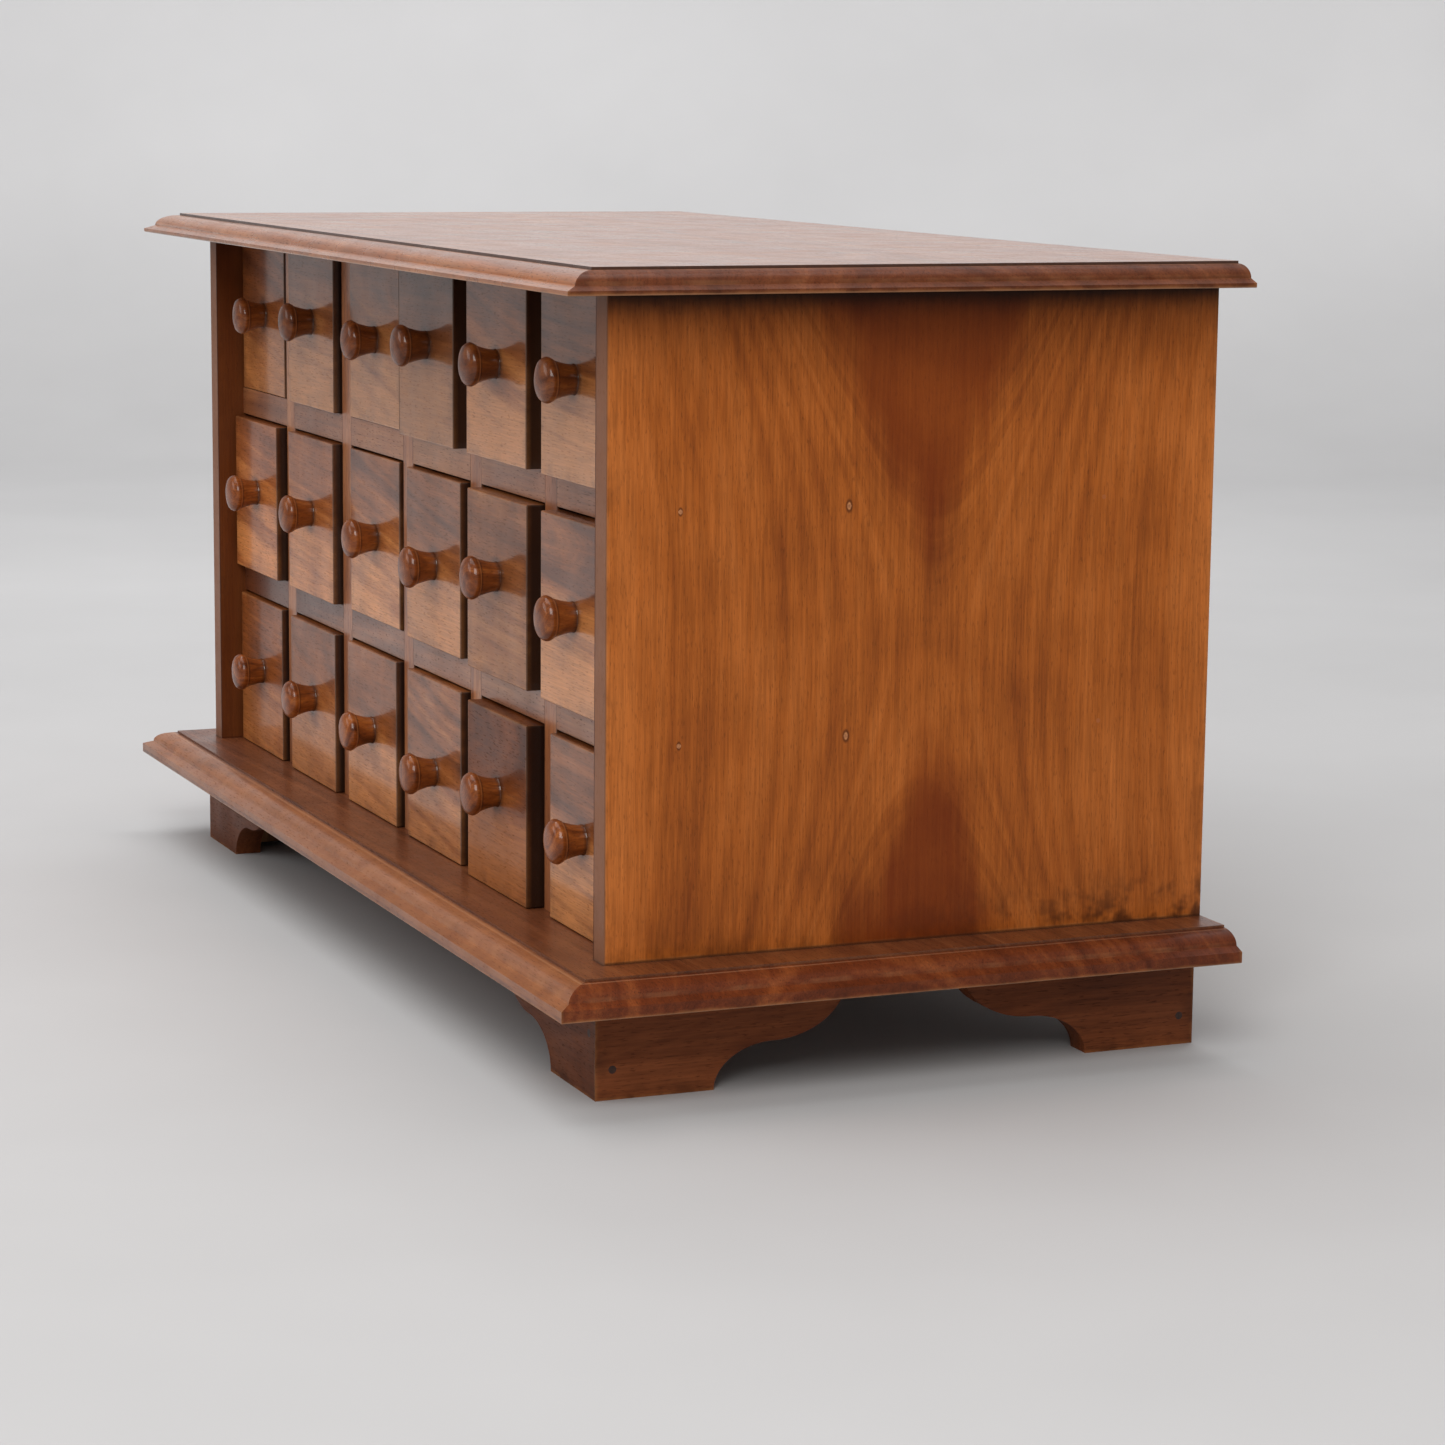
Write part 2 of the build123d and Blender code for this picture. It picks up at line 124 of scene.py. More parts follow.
class Graph:
    """Adds nodes to one material; a method that computes a value returns the socket that holds it."""

    def __init__(self, name):
        self.material = bpy.data.materials.new(name)
        self.material.use_nodes = True
        self.tree = self.material.node_tree
        self.tree.nodes.clear()

    def node(self, kind, **settings):
        made = self.tree.nodes.new(kind)
        for key, value in settings.items():
            setattr(made, key, value)
        return made

    def put(self, socket, value):
        if isinstance(value, bpy.types.NodeSocket):
            self.tree.links.new(value, socket)
        else:
            socket.default_value = value

    def math(self, operation, *values):
        made = self.node("ShaderNodeMath", operation=operation)
        for socket, value in zip(made.inputs, values):
            self.put(socket, value)
        return made.outputs[0]

    def add(self, a, b):
        return self.math("ADD", a, b)

    def sub(self, a, b):
        return self.math("SUBTRACT", a, b)

    def mul(self, a, b):
        return self.math("MULTIPLY", a, b)

    def size(self, value):
        """A value without its sign."""
        return self.math("ABSOLUTE", value)

    def apart(self, a, b):
        """Distance between two values."""
        return self.size(self.sub(a, b))

    def length(self, a, b):
        """Length of a vector from its two parts."""
        return self.math("SQRT", self.add(self.mul(a, a), self.mul(b, b)))

    def about_zero(self, noise, amount):
        """Noise moved to lie around zero, and scaled."""
        return self.mul(self.sub(noise, 0.5), amount)

    def position(self):
        """Where the shaded point lies in its object."""
        return self.node("ShaderNodeTexCoord").outputs["Object"]

    def vector(self, x, y, z):
        made = self.node("ShaderNodeCombineXYZ")
        for socket, value in zip(made.inputs, (x, y, z)):
            self.put(socket, value)
        return made.outputs[0]

    def split(self, vector):
        made = self.node("ShaderNodeSeparateXYZ")
        self.put(made.inputs[0], vector)
        return [made.outputs[i] for i in range(3)]

    def combine(self, operation, vector, constant):
        """A vector added to or multiplied by a constant one."""
        made = self.node("ShaderNodeVectorMath", operation=operation)
        self.put(made.inputs[0], vector)
        made.inputs[1].default_value = constant
        return made.outputs[0]

    def drawn_out(self, vector, factor):
        """Makes a pattern 1 / factor times longer along the grain."""
        return self.combine("MULTIPLY", vector, (factor, 1.0, 1.0))

    def texture(self, made, socket, value, scale, detail, roughness):
        self.put(made.inputs[socket], value)
        made.inputs["Scale"].default_value = scale
        made.inputs["Detail"].default_value = detail
        made.inputs["Roughness"].default_value = roughness
        return made.outputs["Fac"]

    def noise(self, vector, scale, detail=2.0, roughness=0.5):
        made = self.node("ShaderNodeTexNoise")
        return self.texture(made, "Vector", vector, scale, detail, roughness)

    def noise_along(self, value, scale, detail=2.0, roughness=0.5):
        """One-dimensional noise along a value."""
        made = self.node("ShaderNodeTexNoise", noise_dimensions="1D")
        return self.texture(made, "W", value, scale, detail, roughness)

    def rise(self, value, start, end, low=0.0, high=1.0):
        """Goes smoothly from low at start to high at end."""
        made = self.node("ShaderNodeMapRange", interpolation_type="SMOOTHSTEP")
        for key, number in zip(("Value", "From Min", "From Max", "To Min", "To Max"),
                               (value, start, end, low, high)):
            self.put(made.inputs[key], number)
        return made.outputs[0]

    def ramp(self, value, stops):
        made = self.node("ShaderNodeValToRGB")
        self.put(made.inputs[0], value)
        elements = made.color_ramp.elements
        while len(elements) < len(stops):
            elements.new(0.5)
        for element, (place, colour) in zip(elements, stops):
            element.position = place
            element.color = colour
        return made.outputs[0]

    def mix(self, factor, a, b, blend="MIX"):
        made = self.node("ShaderNodeMix", data_type="RGBA", blend_type=blend)
        self.put(made.inputs[0], factor)
        self.put(made.inputs[6], a)
        self.put(made.inputs[7], b)
        return made.outputs[2]

    def stripe(self, colour, gap, full, gone, strength, paint, *masks):
        """Paint with this strength where gap is below full, faded out where it is above gone."""
        line = self.rise(gap, full, gone, strength, 0.0)
        for mask in masks:
            line = self.mul(line, mask)
        return self.mix(line, colour, paint)

    def bump(self, height, distance, strength=1.0, normal=None):
        made = self.node("ShaderNodeBump")
        made.inputs["Strength"].default_value = strength
        made.inputs["Distance"].default_value = distance
        self.put(made.inputs["Height"], height)
        if normal is not None:
            self.put(made.inputs["Normal"], normal)
        return made.outputs[0]

    def surface(self, colour, roughness, normal=None, constants=()):
        """Ends the graph; constants are pairs of a shader socket's name and its value."""
        shader = self.node("ShaderNodeBsdfPrincipled")
        self.put(shader.inputs["Base Color"], colour)
        self.put(shader.inputs["Roughness"], roughness)
        if normal is not None:
            self.put(shader.inputs["Normal"], normal)
        for socket, value in constants:
            shader.inputs[socket].default_value = value
        out = self.node("ShaderNodeOutputMaterial")
        self.put(out.inputs["Surface"], shader.outputs[0])
        return self.material


# ---------------------------------------------------------------- wood

# Scales are per metre, lengths are factors along the grain, and depths are parts of the way
# from the dark tone to the light one.
PLAIN_WOOD = dict(
    wander_scale=9.0, wander=0.03,
    bands=70.0, band_depth=1.3, lines=330.0, line_depth=0.5,
    streak_scale=190.0, streak_length=0.018, streak_depth=0.9,
    blotch_scale=16.0, blotch_depth=0.5,
    fibre_depth=0.16, pore_length=0.12, pore_depth=0.45, ripple_scale=70.0, curl=0.03,
    edges=True, wear=0.5, grime=0.35,
    relief=0.00012, wave_scale=22.0, wave=0.0009,
    roughness=0.38, specular=0.5, coat=0.5, coat_roughness=0.16, coat_ior=1.5,
)
PATTERN_SHIFT = 40         # metres by which a board's pattern may be moved, so that no two are alike
FIBRE_SCALE, FIBRE_LENGTH = 900.0, 0.035
PORE_SCALE = 1500.0


def edge_distance(g, place, lo, hi):
    """Distance from a board's nearest edge, for a point on its surface."""
    gaps = []
    for axis in range(3):
        a = g.sub(place[axis], lo[axis])
        b = g.sub(hi[axis], place[axis])
        gaps.append(g.size(g.math("MINIMUM", a, b)))
    smaller = g.math("MINIMUM", gaps[0], gaps[1])
    larger = g.math("MAXIMUM", gaps[0], gaps[1])
    return g.math("MAXIMUM", smaller, g.math("MINIMUM", larger, gaps[2]))


def cylinders(g, rng, along, across, deep, wander, width, look):
    """Growth rings around a pith that lies outside the board, slightly tilted to it."""
    tilt = look.get("tilt", rng.uniform(0.03, 0.10) * rng.choice((-1, 1)))
    side = look.get("side", rng.uniform(-0.5, 0.5) * width)
    off = look.get("off", rng.uniform(0.02, 0.07))
    lean = look.get("lean", rng.uniform(-0.05, 0.05))
    u = g.add(g.add(across, -side), g.mul(along, lean))
    v = g.add(g.add(deep, off), g.add(g.mul(along, tilt), wander))
    return g.length(u, v)


SOFT_ARMS = 0.035          # how softly the rings turn at the crossing point
BEND = 0.05                # half the length over which the slope of the arches changes


def saddle(g, along, across, wander, settings):
    """Rings of a board cut through two bends of the trunk: arches above and below, upright between."""
    a = g.add(g.add(across, -settings["across"]), g.mul(wander, 0.8))
    b = g.add(along, -settings["along"])
    spread = g.mul(b, g.rise(b, -BEND, BEND, settings["below"], settings["above"]))
    field = g.sub(g.mul(a, a), g.mul(spread, spread))
    soft = g.math("SQRT", g.add(g.size(field), SOFT_ARMS ** 2))
    return g.math("DIVIDE", field, soft)


def worn_edges(g, colour, gap, grime_and_light_noise, look):
    """Varnish rubbed through along the edges, and grime a little inside them."""
    uneven = g.add(gap, g.about_zero(grime_and_light_noise, 3.5 * MM))
    colour = g.stripe(colour, uneven, 0.0, 2.2 * MM, 1.0, WORN, look["wear"])
    spots = g.rise(grime_and_light_noise, 0.42, 0.68)
    return g.stripe(colour, gap, 1.2 * MM, 12 * MM, 1.0, GRIME, spots, look["grime"])


def wood(name, seed, grain, lo, hi, tones, **changes):
    """Solid wood for a board between the corners lo and hi.

    grain gives the axes of length, width and thickness, such as "ZYX". tones are the dark,
    middle and light colours. The growth rings are solid, so the faces show arches and the
    ends show arcs. changes are what differs from PLAIN_WOOD.
    """
    look = {**PLAIN_WOOD, **changes}
    rng = random.Random(seed)
    g = Graph(name)
    place = g.split(g.position())
    order = ["XYZ".index(letter) for letter in grain]
    centre = [(lo[i] + hi[i]) / 2 for i in range(3)]
    along, across, deep = (g.sub(place[i], centre[i]) for i in order)
    shift = [rng.uniform(-PATTERN_SHIFT, PATTERN_SHIFT) for _ in range(3)]
    moved = g.vector(g.add(along, shift[0]), g.add(across, shift[1]), g.add(deep, shift[2]))

    # growth rings, with the grain's slow wander
    wander = g.noise(g.drawn_out(moved, 0.35), look["wander_scale"], 2.0)
    wander = g.about_zero(wander, look["wander"])
    if "saddle" in look:
        figure = saddle(g, along, across, wander, look["saddle"])
    else:
        width = hi[order[1]] - lo[order[1]]
        figure = cylinders(g, rng, along, across, deep, wander, width, look)
    figure = g.add(figure, shift[0])
    bands = g.noise_along(figure, look["bands"], 1.0)
    lines = g.noise_along(figure, look["lines"], 2.0, 0.6)

    # what follows the grain without following the rings
    streaks = g.noise(g.drawn_out(moved, look["streak_length"]), look["streak_scale"], 3.0, 0.6)
    fibres = g.noise(g.drawn_out(moved, FIBRE_LENGTH), FIBRE_SCALE, 2.0, 0.6)
    pores = g.noise(g.drawn_out(moved, look["pore_length"]), PORE_SCALE, 0.0)
    pores = g.rise(pores, 0.66, 0.76)
    blotches = g.noise(moved, look["blotch_scale"], 3.0, 0.55)

    value = g.about_zero(bands, look["band_depth"])
    value = g.add(value, g.about_zero(lines, look["line_depth"]))
    if "calm" in look:
        value = g.mul(value, look["calm"](g, along, across))
    value = g.add(value, g.about_zero(streaks, look["streak_depth"]))
    value = g.add(value, g.about_zero(blotches, look["blotch_depth"]))
    if "shade" in look:
        value = g.add(value, look["shade"](g, place, along, across))
    value = g.add(value, 0.5)
    dark, middle, light = tones
    colour = g.ramp(value, [(0.12, dark), (0.5, middle), (0.88, light)])

    # fine fibres, pores, and cross bands that catch the light
    depth, curl = look["fibre_depth"], look["curl"]
    fine = g.rise(fibres, 0.25, 0.75, 1 - depth, 1 + depth)
    ripple = g.noise(g.combine("MULTIPLY", moved, (1.0, 0.3, 0.3)), look["ripple_scale"], 1.0)
    fine = g.mul(fine, g.rise(ripple, 0.3, 0.7, 1 - curl, 1 + curl))
    colour = g.mix(1.0, colour, fine, "MULTIPLY")
    colour = g.mix(g.mul(pores, look["pore_depth"]), colour, PORE)

    # noise that breaks up the grime and wear, and also the painted light and shade marks
    grime_and_light_noise = g.noise(moved, 45.0, 3.0, 0.65)
    if look["edges"]:
        colour = worn_edges(g, colour, edge_distance(g, place, lo, hi), grime_and_light_noise, look)
    if "marks" in look:
        colour = look["marks"](g, place, colour, grime_and_light_noise)

    # varnish: sheen varies with wear, and the surface is never quite flat
    patches = g.noise(moved, 26.0, 4.0, 0.6)
    rough = g.rise(patches, 0.25, 0.8, look["roughness"] - 0.06, look["roughness"] + 0.12)
    rough = g.add(rough, g.mul(pores, 0.2))
    height = g.add(g.mul(fibres, 0.5), g.mul(pores, -0.9))
    height = g.add(height, g.mul(streaks, 0.6))
    normal = g.bump(height, look["relief"], 0.55)
    waves = g.noise(moved, look["wave_scale"], 1.0)
    normal = g.bump(waves, look["wave"], 0.5, normal)
    return g.surface(colour, rough, normal, (
        ("Specular IOR Level", look["specular"]),
        ("Coat Weight", look["coat"]),
        ("Coat Roughness", look["coat_roughness"]),
        ("Coat IOR", look["coat_ior"]),
    ))


def plain(name, seed, tones, roughness, metallic, scale, stained_from=None):
    """Filler or metal in two tones; beyond the depth stained_from it is stained like the side boards."""
    g = Graph(name)
    coords = g.position()
    shifted = g.combine("ADD", coords, (seed, 2 * seed, 3 * seed))
    blotches = g.noise(shifted, scale, 4.0, 0.6)
    fine = g.noise(shifted, scale * 6, 2.0)
    dark, light = tones
    colour = g.ramp(blotches, [(0.3, dark), (0.7, light)])
    if stained_from is not None:
        hidden = g.rise(g.split(coords)[1], stained_from, stained_from + 10 * MM)
        colour = g.mix(hidden, colour, SIDE_TONES[1])
    rough = g.rise(fine, 0.2, 0.8, roughness - 0.1, roughness + 0.12)
    normal = g.bump(g.add(blotches, g.mul(fine, 0.4)), 0.15 * MM, 0.6)
    return g.surface(colour, rough, normal, (("Metallic", metallic),))


# ---------------------------------------------------------------- mesh helpers

def rounded(obj, width, segments=2, weld=True):
    """Breaks the sharp edges of a piece."""
    if weld:
        modifier = obj.modifiers.new("weld", "WELD")
        modifier.merge_threshold = 0.02 * MM
    modifier = obj.modifiers.new("edges", "BEVEL")
    modifier.width = width
    modifier.segments = segments
    modifier.limit_method = "ANGLE"
    modifier.angle_limit = math.radians(35)
    modifier.harden_normals = True


def dress(name, material, width):
    """Gives a CAD piece its material and softens its edges."""
    obj = nodes[name]
    obj.data.materials.clear()
    obj.data.materials.append(material)
    rounded(obj, width)
    return obj


CUBE_SIDES = (
    ((1, 0, 0), ((1, 0, 0), (1, 1, 0), (1, 1, 1), (1, 0, 1))),
    ((-1, 0, 0), ((0, 0, 0), (0, 0, 1), (0, 1, 1), (0, 1, 0))),
    ((0, 1, 0), ((0, 1, 0), (0, 1, 1), (1, 1, 1), (1, 1, 0))),
    ((0, -1, 0), ((0, 0, 0), (1, 0, 0), (1, 0, 1), (0, 0, 1))),
    ((0, 0, 1), ((0, 0, 1), (1, 0, 1), (1, 1, 1), (0, 1, 1))),
    ((0, 0, -1), ((0, 0, 0), (0, 1, 0), (1, 1, 0), (1, 0, 0))),
)


def cells(xs, ys, zs, gone=lambda i, j, k: False):
    """A board made of the cells between these planes, without those for which gone(i, j, k) is true."""
    bm = bmesh.new()
    made = {}

    def corner(i, j, k):
        if (i, j, k) not in made:
            made[i, j, k] = bm.verts.new((xs[i], ys[j], zs[k]))
        return made[i, j, k]

    def solid(i, j, k):
        inside = 0 <= i < len(xs) - 1 and 0 <= j < len(ys) - 1 and 0 <= k < len(zs) - 1
        return inside and not gone(i, j, k)

    for i in range(len(xs) - 1):
        for j in range(len(ys) - 1):
            for k in range(len(zs) - 1):
                if not solid(i, j, k):
                    continue
                for (di, dj, dk), quad in CUBE_SIDES:
                    if not solid(i + di, j + dj, k + dk):
                        bm.faces.new([corner(i + a, j + b, k + c) for a, b, c in quad])
    bmesh.ops.dissolve_limit(bm, angle_limit=0.01, verts=bm.verts, edges=bm.edges)
    return bm


def join(target, source):
    """Adds one mesh to another, unfused."""
    mesh = bpy.data.meshes.new("part")
    source.to_mesh(mesh)
    source.free()
    target.from_mesh(mesh)
    bpy.data.meshes.remove(mesh)


def object_from(bm, name):
    mesh = bpy.data.meshes.new(name)
    bm.to_mesh(mesh)
    bm.free()
    obj = bpy.data.objects.new(name, mesh)
    bpy.context.scene.collection.objects.link(obj)
    return obj


# ---------------------------------------------------------------- side boards

SIDE_T = 16 * MM
case_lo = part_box("left_side_board")[0]
case_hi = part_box("right_side_board")[1]
nail_heights = [(lo.z + hi.z) / 2 for lo, hi in (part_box("upper_shelf"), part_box("lower_shelf"))]

# depth behind the front edge, radius, and how far the filler has gone pale
NAILS = ((43 * MM, 1.6 * MM, 0.35), (142.5 * MM, 2.4 * MM, 0.9))
NAIL_OVAL = 0.55           # height is squeezed by this factor
HIDDEN_NAILS_FROM = 200 * MM      # nails further back than this are stained over

# the figure's crossing point from the middle of the board, and the slopes of the arches
HEART_Y, HEART_Z = 0.006, -0.014
HEART_BELOW, HEART_ABOVE = 0.42, 0.46
HEART_APART = 0.038        # distance of each wedge's tip from the crossing point


def heart_reach(g, along, across):
    """1 in the two heartwood wedges, which point at each other, and 0 outside them, with flamed edges."""
    flames = g.sub(g.noise(g.vector(g.mul(along, 0.16), across, 3.0), 34.0, 3.0, 0.7), 0.5)
    sway = g.about_zero(g.noise_along(along, 7.0, 1.0), 0.015)
    a = g.add(g.add(across, -HEART_Y), g.add(g.mul(flames, 0.055), sway))
    b = g.add(along, -HEART_Z)
    slope = g.rise(b, -BEND, BEND, HEART_BELOW, HEART_ABOVE)
    inside = g.sub(g.size(b), HEART_APART)
    reach = g.sub(g.mul(inside, slope), g.size(a))
    return g.rise(reach, -10 * MM, 22 * MM)


def side_shade(g, place, along, across):
    """Dark heart, darkest at the foot, with a streak at the upper tip; pale bands at front and back."""
    depth = g.rise(along, -0.15, -0.02, -0.34, -0.18)
    heart = g.mul(heart_reach(g, along, across), depth)
    front = g.rise(across, -0.185, -0.135, 0.24, 0.0)
    back = g.rise(across, 0.135, 0.18, 0.0, 0.16)
    tip = g.rise(g.apart(across, 0.012), 0.003, 0.018, -0.16, 0.0)
    tip = g.mul(tip, g.rise(g.apart(along, 0.04), 0.03, 0.07, 1.0, 0.0))
    return g.add(g.add(heart, tip), g.add(front, back))


def side_calm(g, along, across):
    """The figure fades inside the heartwood."""
    return g.sub(1.0, g.mul(heart_reach(g, along, across), 0.75))


def nail_marks(g, place, colour):
    """Filled nail holes: a dark ring around paler filler."""
    for depth, radius, pale in NAILS:
        for height in nail_heights:
            dy = g.sub(place[1], case_lo.y + depth)
            dz = g.mul(g.sub(place[2], height), NAIL_OVAL)
            r = g.length(dy, dz)
            colour = g.stripe(colour, r, radius * 0.62, radius * 1.1, 1.0, NAIL_RING, 0.75)
            colour = g.stripe(colour, r, radius * 0.3, radius * 0.62, 1.0, NAIL_CORE, pale)
    return colour


def side_marks(g, place, colour, grime_and_light_noise):
    """Redder heartwood, filled nails, dark grime along the foot, a painted shadow under the top, a greyish
    front edge, and painted shade on the inner face.
    """
    along = g.sub(place[2], (case_lo.z + case_hi.z) / 2)
    across = g.sub(place[1], (case_lo.y + case_hi.y) / 2)
    colour = g.mix(g.mul(heart_reach(g, along, across), 0.6), colour, HEART)
    colour = nail_marks(g, place, colour)
    above_base = g.sub(place[2], case_lo.z)
    towards_back = g.rise(place[1], case_lo.y + 160 * MM, case_lo.y + 320 * MM, 0.2, 1.0)
    spots = g.mul(g.rise(grime_and_light_noise, 0.42, 0.62), 0.75)
    colour = g.stripe(colour, above_base, 0.0, 42 * MM, 1.0, FOOT_GRIME, towards_back, spots)
    colour = g.stripe(colour, above_base, 0.4 * MM, 1.6 * MM, 0.7, FOOT_LINE)
    # painted shadow under the overhanging top, made uneven by noise
    below_top = g.add(g.sub(case_hi.z, place[2]), g.about_zero(grime_and_light_noise, 6 * MM))
    colour = g.stripe(colour, below_top, 0.5 * MM, 20 * MM, 0.98, OVERHANG_SHADOW)
    # the side board's front edge face is painted greyish brown
    behind_edge = g.sub(place[1], case_lo.y)
    colour = g.stripe(colour, behind_edge, 0.2 * MM, 1.2 * MM, 0.85, GREYED_FRONT_EDGE)
    # painted shade: the side board's inner face, inside the case, is painted dark
    from_middle, inner_face = g.size(place[0]), case_hi.x - SIDE_T
    return g.stripe(colour, from_middle, inner_face + 0.8 * MM, inner_face + 1.2 * MM, 0.85, INNER_SHADE)


RIGHT_FIGURE = {"across": HEART_Y, "along": HEART_Z, "below": HEART_BELOW, "above": HEART_ABOVE}
LEFT_FIGURE = {"across": -0.03, "along": 0.05, "below": 0.3, "above": 0.25}


def dress_sides():
    for side, seed, figure in (("right", 11, RIGHT_FIGURE), ("left", 12, LEFT_FIGURE)):
        lo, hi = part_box(side + "_side_board")
        material = wood(
            side + "_side_wood", seed, "ZYX", lo, hi, SIDE_TONES, saddle=figure, calm=side_calm,
            wander=0.035, wander_scale=7.0, bands=62.0, band_depth=0.5, lines=420.0, line_depth=0.14,
            streak_depth=0.26, streak_scale=340.0, blotch_depth=0.6, curl=0.015, fibre_depth=0.17,
            pore_depth=0.24, pore_length=0.16, shade=side_shade, marks=side_marks, wear=0.35, grime=0.25,
            roughness=0.45, specular=0.12, coat=0.06, coat_roughness=0.25)
        dress(side + "_side_board", material, 0.6 * MM)


# ---------------------------------------------------------------- partitions and shelves

DIVIDER_T, DIVIDER_PITCH = 20 * MM, 130 * MM
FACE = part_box("divider_1")[0].y


def painted_recess_shade(g, place, colour, grime_and_light_noise):
    """Painted shade: shelves and partitions are painted nearly black just behind their front edges, where the
    recesses lie in shade.
    """
    behind = g.sub(place[1], FACE)
    near_edge = g.rise(behind, 0.8 * MM, 2.5 * MM, 0.0, 0.9)
    dark = g.mul(near_edge, g.rise(behind, 30 * MM, 200 * MM, 1.0, 0.45))
    return g.mix(dark, colour, RECESS_SHADE)


def divider_marks(g, place, colour, grime_and_light_noise):
    """Grime along the front arrises, which shows as fine lines where a partition crosses the shelves, and the
    painted recess shade behind the front edge.
    """
    from_middle = g.math("PINGPONG", place[0], DIVIDER_PITCH / 2)
    gap = g.apart(from_middle, DIVIDER_T / 2)
    broken = g.rise(grime_and_light_noise, 0.3, 0.6, 0.5, 1.0)
    colour = g.stripe(colour, gap, 0.3 * MM, 1.6 * MM, 0.75, BUTT_LINE, broken)
    return painted_recess_shade(g, place, colour, grime_and_light_noise)


def dress_partitions():
    for index in range(1, 6):
        name = f"divider_{index}"
        lo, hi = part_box(name)
        material = wood(name + "_wood", 20 + index, "ZYX", lo, hi, RAIL_TONES, band_depth=0.8, curl=0.05,
                        edges=False, marks=divider_marks, roughness=0.34, coat=0.38)
        dress(name, material, 0.4 * MM)


def dress_shelves():
    for index, name in enumerate(("upper_shelf", "lower_shelf")):
        lo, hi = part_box(name)
        material = wood(name + "_wood", 30 + index, "XYZ", lo, hi, SHELF_TONES, tilt=0.03, lean=0.02,
                        bands=90.0, band_depth=1.5, edges=False, marks=painted_recess_shade, roughness=0.34, coat=0.38)
        dress(name, material, 0.4 * MM)


# ---------------------------------------------------------------- moulded top and base boards

QUIRK_IN = 21 * MM         # the quirk's distance from the board's edge
ARRIS_IN = 6.5 * MM        # the arris below the ovolo


def dull_ends(obj, material):
    """Gives the moulded ends a second, darker material: stain soaked into the end grain, and painted shade on
    the ends.
    """
    obj.data.materials.append(material)
    lo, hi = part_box(obj.name)
    for polygon in obj.data.polygons:
        x, y, _ = polygon.center
        end = min(x - lo.x, hi.x - x)
        if end < QUIRK_IN - 0.2 * MM and end < y - lo.y:
            polygon.material_index = 1


def moulding_marks(name, quirk_strength):
    """Grime in the moulding's quirk and painted highlights on its arrises, for a board moulded on three
    sides.
    """
    lo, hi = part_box(name)

    def marks(g, place, colour, grime_and_light_noise):
        left = g.sub(place[0], lo.x)
        right = g.sub(hi.x, place[0])
        front = g.sub(place[1], lo.y)
        inward = g.math("MINIMUM", g.math("MINIMUM", left, right), front)
        upper = g.rise(place[2], lo.z + 2.5 * MM, lo.z + 3.5 * MM)
        uneven = g.about_zero(grime_and_light_noise, 1.2 * MM)
        gap = g.size(g.add(g.sub(inward, QUIRK_IN - 0.3 * MM), uneven))
        colour = g.stripe(colour, gap, 0.4 * MM, 1.6 * MM, 1.0, QUIRK_LINE, upper, quirk_strength)
        # painted highlights: thin light lines where the curved moulding catches the light
        gap = g.apart(inward, QUIRK_IN - 3 * MM)
        colour = g.stripe(colour, gap, 0.2 * MM, 1.1 * MM, 0.2, QUIRK_HIGHLIGHT, upper)
        outermost = g.rise(inward, 0.4 * MM, 1.0 * MM, 1.0, 0.0)
        above_foot = g.sub(place[2], lo.z)
        colour = g.stripe(colour, above_foot, 0.3 * MM, 1.1 * MM, 0.25, NOSE_HIGHLIGHT, outermost)
        # the arris highlight is painted in patches
        painted_light = g.rise(grime_and_light_noise, 0.35, 0.7, 0.0, 0.14)
        gap = g.apart(inward, ARRIS_IN)
        colour = g.stripe(colour, gap, 0.3 * MM, 1.0 * MM, 1.0, ARRIS_HIGHLIGHT, upper, painted_light)
        if name == "base_board":
            nearer_front = g.math("LESS_THAN", front, g.math("MINIMUM", left, right))
            colour = ledge_and_front(g, colour, inward, g.mul(nearer_front, upper), grime_and_light_noise)
            colour = case_line(g, place, colour, uneven)
        return colour

    return marks


def ledge_and_front(g, colour, inward, on_front, grime_and_light_noise):
    """The base board's flat is painted darker, and its front moulding is painted lighter: painted light on
    the face that faces the light.
    """
    # the flat is painted darker
    ledge = g.rise(inward, QUIRK_IN, QUIRK_IN + 1 * MM, 0.0, 0.25)
    colour = g.mix(ledge, colour, LEDGE_DARK)
    # painted light: only the front moulding is made lighter, not the ends
    painted_light = g.mul(on_front, g.rise(inward, QUIRK_IN - 2 * MM, QUIRK_IN, 0.42, 0.0))
    painted_light = g.mul(painted_light, g.rise(grime_and_light_noise, 0.3, 0.7, 0.35, 1.0))
    return g.mix(painted_light, colour, LIT_FRONT_MOULDING)


def case_line(g, place, colour, uneven):
    """Grime on the base board along the side boards' feet."""
    across_x = g.size(place[0])
    out = g.math("MAXIMUM", g.sub(across_x, case_hi.x), g.sub(case_lo.y, place[1]))
    gap = g.add(out, g.mul(uneven, 2.0))
    outside = g.rise(out, -3 * MM, -1 * MM, 0.0, 1.0)
    by_side = g.math("GREATER_THAN", across_x, case_hi.x - SIDE_T)
    return g.stripe(colour, gap, 0.2 * MM, 3.0 * MM, 0.8, CASE_LINE, outside, by_side)


